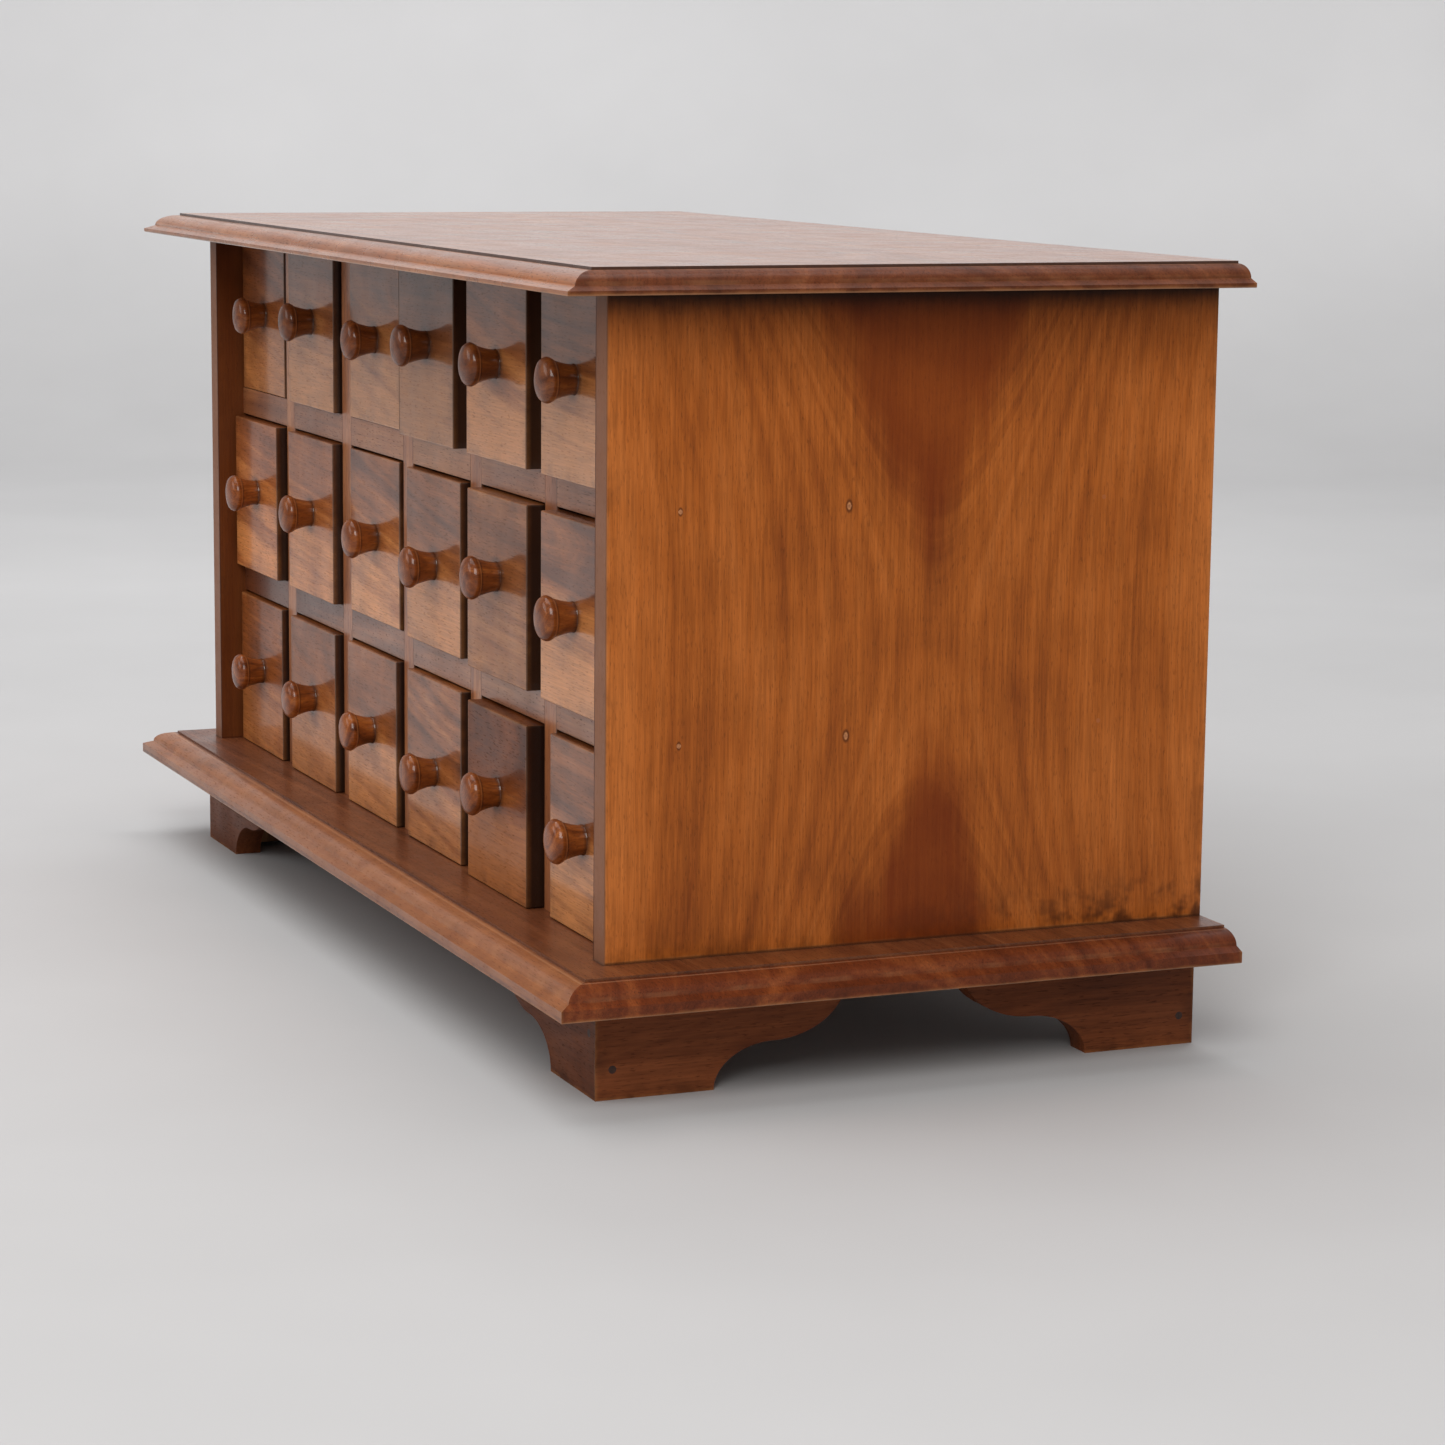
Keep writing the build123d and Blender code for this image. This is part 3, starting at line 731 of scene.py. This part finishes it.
def dress_top():
    lo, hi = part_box("top_board")
    look = dict(tilt=0.05, off=0.05, side=0.02, bands=60.0, streak_depth=0.28, wear=0.3,
                relief=0.00003, wave=0.0003, marks=moulding_marks("top_board", 0.85))
    material = wood("top_wood", 41, "XYZ", lo, hi, TOP_TONES, band_depth=0.45, roughness=0.3,
                    coat=0.56, coat_roughness=0.13, **look)
    # the ends get darker tones: end-grain stain and painted shade
    ends = wood("top_end_wood", 41, "XYZ", lo, hi, END_STAIN_AND_SHADE_TONES, band_depth=0.7, line_depth=0.3,
                roughness=0.5, specular=0.12, coat=0.1, **look)
    dull_ends(dress("top_board", material, 0.5 * MM), ends)


def dress_base():
    lo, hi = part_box("base_board")
    look = dict(tilt=0.03, off=0.06, side=-0.05, bands=60.0, band_depth=0.6, streak_depth=0.4,
                wear=0.3, wave=0.0004, marks=moulding_marks("base_board", 0.35))
    material = wood("base_wood", 42, "XYZ", lo, hi, BASE_TONES, roughness=0.38, specular=0.35,
                    coat=0.24, coat_roughness=0.18, **look)
    # the ends get darker tones: end-grain stain and painted shade
    ends = wood("base_end_wood", 42, "XYZ", lo, hi, BASE_END_STAIN_AND_SHADE_TONES, lines=150.0, line_depth=0.4,
                roughness=0.5, specular=0.15, coat=0.12, **look)
    dull_ends(dress("base_board", material, 0.5 * MM), ends)


# ---------------------------------------------------------------- back, feet and small parts

FOOT_GRAIN = (("front_foot_face", "XZY"), ("back_foot_face", "XZY"),
              ("front_foot_side", "YZX"), ("back_foot_side", "YZX"))


def dress_back():
    lo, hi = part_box("back_panel")
    material = wood("panel_wood", 43, "XZY", lo, hi, LINING_TONES, bands=90.0, band_depth=0.7,
                    blotch_depth=0.35, wear=0.2, roughness=0.6, coat=0.0)
    dress("back_panel", material, 0.4 * MM)


def dress_feet():
    for side in ("left", "right"):
        for piece, grain in FOOT_GRAIN:
            name = f"{side}_{piece}"
            lo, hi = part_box(name)
            seed = 50 + len(name) + (7 if side == "left" else 0)
            # painted shade: the front faces of the front feet get darker tones than the other foot pieces
            tone = 0.72 if piece == "front_foot_face" else 1.05
            material = wood(name + "_wood", seed, grain, lo, hi, toned(FOOT_TONES, tone), band_depth=0.4,
                            line_depth=0.3, streak_depth=0.5, wear=0.25, grime=0.45, roughness=0.5,
                            specular=0.12, coat=0.03)
            dress(name, material, 0.5 * MM)


def dress_small_parts():
    dress("foot_pins", plain("pin_filler", 61, PIN_FILLER, 0.6, 0.0, 500.0), 0.2 * MM)
    hidden_from = case_lo.y + HIDDEN_NAILS_FROM
    filler = plain("nail_filler", 62, NAIL_FILLER, 0.5, 0.0, 700.0, stained_from=hidden_from)
    dress("shelf_nails", filler, 0.2 * MM)
    dress("back_panel_screws", plain("screw_steel", 63, SCREW_STEEL, 0.42, 1.0, 900.0), 0.2 * MM)
    lo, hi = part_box("foot_glue_blocks")
    material = wood("block_wood", 64, "ZXY", lo, hi, LINING_TONES, edges=False, roughness=0.65, coat=0.0)
    dress("foot_glue_blocks", material, 0.6 * MM)


# ---------------------------------------------------------------- drawer fronts and linings

LINING_T, LAP, FRONT_T, SIDE_DROP = 8 * MM, 5 * MM, 18 * MM, 6 * MM
BOTTOM_LIFT, BOTTOM_T, GROOVE, LENGTH = 6 * MM, 4 * MM, 4 * MM, 334 * MM

# each front's lightness, warmth, varnish and strength of figure, by row from the top
FRONT_LOOKS = (
    ((0.82, 0.10, 0.70, 0.8), (0.88, 0.02, 0.80, 0.7), (0.90, 0.00, 0.85, 0.9),
     (0.64, 0.04, 0.80, 0.6), (0.96, 0.03, 0.85, 1.3), (0.92, 0.00, 0.90, 1.0)),
    ((1.12, 0.12, 0.48, 1.0), (1.10, 0.08, 0.54, 0.8), (1.19, 0.03, 0.62, 0.8),
     (0.96, 0.04, 0.58, 0.7), (0.78, 0.03, 0.46, 0.4), (1.06, 0.03, 0.66, 0.9)),
    ((0.84, 0.14, 0.32, 0.6), (0.92, 0.08, 0.42, 0.6), (1.02, 0.05, 0.48, 0.6),
     (1.06, 0.04, 0.52, 1.1), (0.57, 0.22, 0.14, 0.3), (1.06, 0.02, 0.58, 0.8)),
)


def front_board(w, h):
    """Front with rabbets for the sides, its lower middle at the origin, facing -Y."""
    xs = [-w / 2, -w / 2 + LINING_T, w / 2 - LINING_T, w / 2]
    ys = [0, FRONT_T - LAP, FRONT_T]
    return cells(xs, ys, [0, h - SIDE_DROP, h], lambda i, j, k: i != 1 and j == 1 and k == 0)


def side_lining(sign, w, top, back):
    """One side board, grooved for the bottom and housed for the back."""
    inner = w / 2 - LINING_T
    xs = sorted(sign * x for x in (inner, inner + GROOVE, w / 2))
    ys = [FRONT_T - LAP, back, back + LINING_T, LENGTH]
    zs = [0, BOTTOM_LIFT, BOTTOM_LIFT + BOTTOM_T, top]
    cut = 0 if sign > 0 else 1
    return cells(xs, ys, zs, lambda i, j, k: i == cut and (k == 1 or (k == 2 and j == 1)))


def lining_boards(w, h):
    """Two sides, back and bottom, in one mesh and unfused."""
    top, back = h - SIDE_DROP, LENGTH - 2 * LINING_T
    inner = w / 2 - LINING_T
    half = inner + GROOVE
    made = bmesh.new()
    for sign in (-1, 1):
        join(made, side_lining(sign, w, top, back))
    join(made, cells([-half, half], [back, back + LINING_T], [BOTTOM_LIFT + BOTTOM_T, top]))
    join(made, cells([-half, -inner, inner, half], [FRONT_T - GROOVE, FRONT_T, LENGTH],
                     [BOTTOM_LIFT, BOTTOM_LIFT + BOTTOM_T], lambda i, j, k: i != 1 and j == 0))
    return made


def front_shade(h, strength):
    """Painted light: a front is darker at the top and paler towards the bottom, standing in for the shade and
    reflections that fall on it.
    """
    def shade(g, place, along, across):
        return g.rise(place[2], 0.1 * h, 0.85 * h, strength, -0.5 * strength)
    return shade


def front_marks(w, h, rise):
    """The front's ends and rims are darker, from stain with painted shade and a painted dark reflection, and
    a dim halo of painted shade surrounds the knob.
    """
    def marks(g, place, colour, grime_and_light_noise):
        from_middle = g.size(place[0])
        behind_face = g.rise(place[1], 0.8 * MM, 4 * MM)
        end = g.rise(from_middle, w / 2 - 0.6 * MM, w / 2 - 0.1 * MM)
        # the ends: stain and painted shade
        colour = g.mix(g.mul(g.mul(behind_face, end), 0.9), colour, FRONT_END_STAIN_AND_SHADE)
        # the rims: stain and a painted dark reflection
        rim = g.rise(from_middle, w / 2 - 1.2 * MM, w / 2 - 0.3 * MM, 0.0, 0.75)
        colour = g.mix(rim, colour, FRONT_RIM_STAIN_AND_REFLECTION)
        # painted shade: a dim halo around the knob's foot
        r = g.length(place[0], g.sub(place[2], h / 2 + rise))
        uneven = g.add(r, g.about_zero(grime_and_light_noise, 4 * MM))
        return g.stripe(colour, uneven, FOOT_R, FOOT_R + 6 * MM, 0.5, KNOB_SHADE_HALO)
    return marks


def front_wood(body, row, column, rng, w, h, rise):
    tone, warm, varnish, figure = FRONT_LOOKS[row][column]
    return wood(
        body + "_front_wood", 200 + 10 * row + column, "XZY", (-w / 2, 0, 0), (w / 2, FRONT_T, h),
        toned(FRONT_TONES, tone, warm),
        tilt=rng.uniform(-0.2, 0.2), lean=rng.uniform(0.0, 0.1) + 0.13 * figure, side=rng.uniform(0.03, 0.09),
        off=rng.uniform(0.01, 0.05), bands=rng.uniform(45, 75), band_depth=0.85 * figure,
        lines=220.0, line_depth=rng.uniform(0.25, 0.5), streak_depth=0.35, streak_length=0.06,
        wander=rng.uniform(0.015, 0.045), wander_scale=13.0, curl=rng.uniform(0.02, 0.07),
        ripple_scale=rng.uniform(30, 60), blotch_scale=22.0, blotch_depth=0.6, pore_depth=0.3,
        shade=front_shade(h, rng.uniform(0.15, 0.55)), marks=front_marks(w, h, rise), wear=0.25, grime=0.3,
        roughness=0.4, specular=0.15, coat=varnish, coat_roughness=0.13 if column == 0 else 0.1, coat_ior=1.6)


def lining_wood(column, w, h):
    return wood(f"lining_wood_{column}", 300 + column, "YZX", (-w / 2, 0, 0), (w / 2, LENGTH, h),
                LINING_TONES, band_depth=0.9, edges=False, roughness=0.6, coat=0.0)


# ---------------------------------------------------------------- knobs

KNOB_LENGTH, HEAD_R, RING_R, SHOULDER_R, FOOT_R = (r * MM for r in (20.8, 12.8, 11.8, 11.1, 8.9))
HEAD_DEPTH, RING_DEPTH, SHOULDER_DEPTH = (d * MM for d in (15.2, 12.9, 12.3))
TENON_R, TENON = 5 * MM, 12 * MM
NECK_CURVE = ((8.7, 1.5), (9.2, 5.0), (10.1, 8.5))
DOME_CURVE = ((12.2, 17.3), (10.6, 19.1), (7.8, 20.15), (4.0, 20.68))
KNOB_STEPS = 64            # corners around a knob


def curve(points, steps):
    """A smooth line (Catmull-Rom) through points, with its ends doubled."""
    padded = [points[0], *points, points[-1]]
    out = [points[0]]
    for a, b, c, d in zip(padded, padded[1:], padded[2:], padded[3:]):
        for step in range(1, steps + 1):
            t = step / steps
            out.append(tuple(
                0.5 * (2 * q + (r - p) * t + (2 * p - 5 * q + 4 * r - s) * t * t
                       + (3 * q - p - 3 * r + s) * t ** 3)
                for p, q, r, s in zip(a, b, c, d)))
    return out


def knob_profile(slim):
    """Radii and distances from the drawer front, from the tenon's end to the dome's middle."""
    neck = [(r * slim * MM, d * MM) for r, d in NECK_CURVE]
    dome = [(r * MM, d * MM) for r, d in DOME_CURVE]
    profile = [(0, -TENON), (TENON_R, -TENON), (TENON_R, 0), (FOOT_R, 0)]
    profile += curve([(FOOT_R, 0), *neck, (SHOULDER_R, SHOULDER_DEPTH)], 5)[1:]
    below_ring = (RING_R - 0.1 * MM, RING_DEPTH - 0.25 * MM)
    head = [below_ring, (RING_R, RING_DEPTH), (HEAD_R, HEAD_DEPTH), *dome, (0, KNOB_LENGTH)]
    return profile + curve(head, 6)


def turned(profile):
    """A body turned along -Y from the origin; a radius of 0 closes it in one point."""
    bm = bmesh.new()
    rings = []
    for radius, depth in profile:
        ring = []
        for step in range(KNOB_STEPS if radius > 1e-6 else 1):
            angle = 2 * math.pi * step / KNOB_STEPS
            ring.append(bm.verts.new((radius * math.cos(angle), -depth, radius * math.sin(angle))))
        rings.append(ring)
    for a, b in zip(rings, rings[1:]):
        for step in range(KNOB_STEPS):
            nxt = (step + 1) % KNOB_STEPS
            if len(a) == 1:
                bm.faces.new((a[0], b[nxt], b[step]))
            elif len(b) == 1:
                bm.faces.new((a[step], a[nxt], b[0]))
            else:
                bm.faces.new((a[step], a[nxt], b[nxt], b[step]))
    bmesh.ops.recalc_face_normals(bm, faces=bm.faces)
    for face in bm.faces:
        face.smooth = True
    return bm


def knob_marks(g, place, colour, grime_and_light_noise):
    """A dark ring of painted shade where the knob meets the front, a dark ring where the turner stopped and
    grime sits, and a painted highlight on the arris behind the head.
    """
    depth = g.mul(place[1], -1.0)
    # the ring at the foot is painted shade where the knob meets the front; the ring at the shoulder is grime
    for at, reach, strength in ((0.1 * MM, 2.6 * MM, 0.65), (SHOULDER_DEPTH, 1.0 * MM, 0.45)):
        gap = g.add(g.apart(depth, at), g.about_zero(grime_and_light_noise, 0.6 * MM))
        colour = g.stripe(colour, gap, 0.2 * MM, reach, strength, KNOB_GRIME_AND_SHADE)
    # painted highlight: a light line on the arris behind the head
    gap = g.apart(depth, RING_DEPTH + 0.3 * MM)
    return g.stripe(colour, gap, 0.2 * MM, 0.7 * MM, 0.35, KNOB_ARRIS_HIGHLIGHT)


def knob_wood(body, row, column, tone):
    return wood(
        body + "_knob_wood", 400 + 10 * row + column, "YXZ", (-HEAD_R, -KNOB_LENGTH, -HEAD_R),
        (HEAD_R, TENON, HEAD_R), toned(KNOB_TONES, tone), tilt=0.1, off=0.01, side=0.004,
        wander=0.006, wander_scale=40.0, bands=160.0, band_depth=0.8, lines=600.0, pore_depth=0.4,
        edges=False, marks=knob_marks, relief=0.00006, wave=0.0003, wave_scale=70.0,
        roughness=0.42, specular=0.1, coat=0.55, coat_roughness=0.09)


# ---------------------------------------------------------------- drawers

linings = []


def build_drawer(row, column):
    body = f"drawer_r{row + 1}_c{column + 1}"
    rng = random.Random(100 + 10 * row + column)
    lo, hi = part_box(body + "_box")
    knob_lo, knob_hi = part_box(body + "_knob")
    knob_z = (knob_lo.z + knob_hi.z) / 2
    w, h = hi.x - lo.x, hi.z - lo.z
    origin = Vector(((lo.x + hi.x) / 2, lo.y, lo.z))

    front = object_from(front_board(w, h), body + "_front")
    front.location = origin
    rise = knob_z - (lo.z + hi.z) / 2
    front.data.materials.append(front_wood(body, row, column, rng, w, h, rise))
    rounded(front, 0.8 * MM, 3, weld=False)
    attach(front, body)
    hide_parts(body + "_box")

    lining = object_from(lining_boards(w, h), body + "_lining")
    lining.location = origin
    if row == 0:
        linings.append(lining_wood(column, w, h))
    lining.data.materials.append(linings[column])
    rounded(lining, 0.4 * MM, weld=False)
    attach(lining, body)
    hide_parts(body + "_box")

    knob = object_from(turned(knob_profile(rng.uniform(0.975, 1.0))), body + "_turned_knob")
    knob.location = (origin.x, lo.y, knob_z)
    knob.rotation_euler = (0, rng.uniform(0, 2 * math.pi), 0)
    # painted shadow: the top row's knobs are made a fifth darker, as the top shades them
    tone = rng.uniform(0.88, 1.12) * (0.8 if row == 0 else 1.0)
    knob.data.materials.append(knob_wood(body, row, column, tone))
    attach(knob, body)
    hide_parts(body + "_knob")


# ---------------------------------------------------------------- camera

CAMERA_PLACE = (2.2845, -0.8894, 0.546)
LENS = 95.1
YAW, PITCH, ROLL = (math.radians(angle) for angle in (-67.19, -9.44, 0.56))
ahead = Vector((math.sin(YAW) * math.cos(PITCH), math.cos(YAW) * math.cos(PITCH), math.sin(PITCH)))


def set_camera():
    data = bpy.data.cameras.new("camera")
    data.sensor_width = 36
    data.lens = LENS
    data.clip_start = 0.05
    data.clip_end = 60
    camera = bpy.data.objects.new("camera", data)
    bpy.context.scene.collection.objects.link(camera)
    right = Vector((math.cos(YAW), -math.sin(YAW), 0))
    above = right.cross(ahead)
    across = right * math.cos(ROLL) + above * math.sin(ROLL)
    upward = above * math.cos(ROLL) - right * math.sin(ROLL)
    turn = Matrix((across, upward, -ahead)).transposed()
    camera.matrix_world = Matrix.Translation(CAMERA_PLACE) @ turn.to_4x4()
    bpy.context.scene.camera = camera


# ---------------------------------------------------------------- floor and light

SWEEP_R, WALL_AWAY, WALL_TOP, FLOOR_START, HALF_WIDTH = 1.4, 4.4, 7.0, -9.0, 9
SWEEP_STEPS = 24
FLOOR_TONE = 0.82          # the floor's brightness as a part of the wall's

# name, place, target, size, power and colour
LAMPS = (
    ("key", (2.6, -1.6, 2.4), (0, 0, 0.2), (1.8, 1.8), 75, (1.0, 0.985, 0.96)),
    ("overhead", (-0.6, -0.4, 3.4), (0, 0, 0.2), (3.2, 3.2), 68, (1.0, 0.99, 0.98)),
    ("wall_wash", (-1.6, 0.6, 3.6), (-4.0, 1.7, 1.0), (4.0, 1.0), 68, (1, 1, 1)),
    ("front_fill", (-1.2, -3.2, 1.6), (0, 0, 0.2), (2.2, 1.6), 22, (1.0, 0.98, 0.97)),
)


def studio_paper():
    g = Graph("studio_paper")
    coords = g.position()
    mottle = g.noise(coords, 1.3, 4.0, 0.6)
    colour = g.ramp(mottle, [(0.3, PAPER[0]), (0.7, PAPER[1])])
    height = g.split(coords)[2]
    colour = g.mix(1.0, colour, g.rise(height, 0.0, 0.5, FLOOR_TONE, 1.0), "MULTIPLY")
    return g.surface(colour, g.rise(mottle, 0.3, 0.7, 0.75, 0.85))


def studio():
    """A floor that curves up into a wall behind the cabinet, seen along the camera's direction."""
    flat = Vector((ahead.x, ahead.y, 0)).normalized()
    sideways = Vector((flat.y, -flat.x, 0))
    profile = [(FLOOR_START, 0.0), (WALL_AWAY - SWEEP_R, 0.0)]
    for step in range(1, SWEEP_STEPS + 1):
        angle = math.radians(90 * step / SWEEP_STEPS)
        away = WALL_AWAY - SWEEP_R + SWEEP_R * math.sin(angle)
        profile.append((away, SWEEP_R - SWEEP_R * math.cos(angle)))
    profile.append((WALL_AWAY, WALL_TOP))
    bm = bmesh.new()
    lines = []
    for distance, height in profile:
        point = flat * distance + Vector((0, 0, height))
        ends = (point - sideways * HALF_WIDTH, point + sideways * HALF_WIDTH)
        lines.append([bm.verts.new(end) for end in ends])
    for a, b in zip(lines, lines[1:]):
        bm.faces.new((a[0], a[1], b[1], b[0])).smooth = True
    obj = object_from(bm, "studio_floor")
    obj.data.materials.append(studio_paper())


def lamp(name, place, target, size, power, colour):
    data = bpy.data.lights.new(name, "AREA")
    data.shape = "RECTANGLE"
    data.size, data.size_y = size
    data.energy = power
    data.color = colour
    obj = bpy.data.objects.new(name, data)
    bpy.context.scene.collection.objects.link(obj)
    obj.location = place
    obj.rotation_euler = (Vector(target) - Vector(place)).to_track_quat("-Z", "Y").to_euler()


def air():
    """Soft light from all around."""
    world = bpy.data.worlds.new("studio_air")
    bpy.context.scene.world = world
    world.use_nodes = True
    background = world.node_tree.nodes["Background"]
    background.inputs["Color"].default_value = AIR
    background.inputs["Strength"].default_value = 0.55


# ---------------------------------------------------------------- the scene

dress_sides()
dress_partitions()
dress_shelves()
dress_top()
dress_base()
dress_back()
dress_feet()
dress_small_parts()
for row in range(3):
    for column in range(6):
        build_drawer(row, column)
set_camera()
studio()
for settings in LAMPS:
    lamp(*settings)
air()

scene = bpy.context.scene
scene.view_settings.view_transform = "Standard"
scene.view_settings.look = "None"
scene.view_settings.exposure = 0.0
scene.cycles.max_bounces = 8
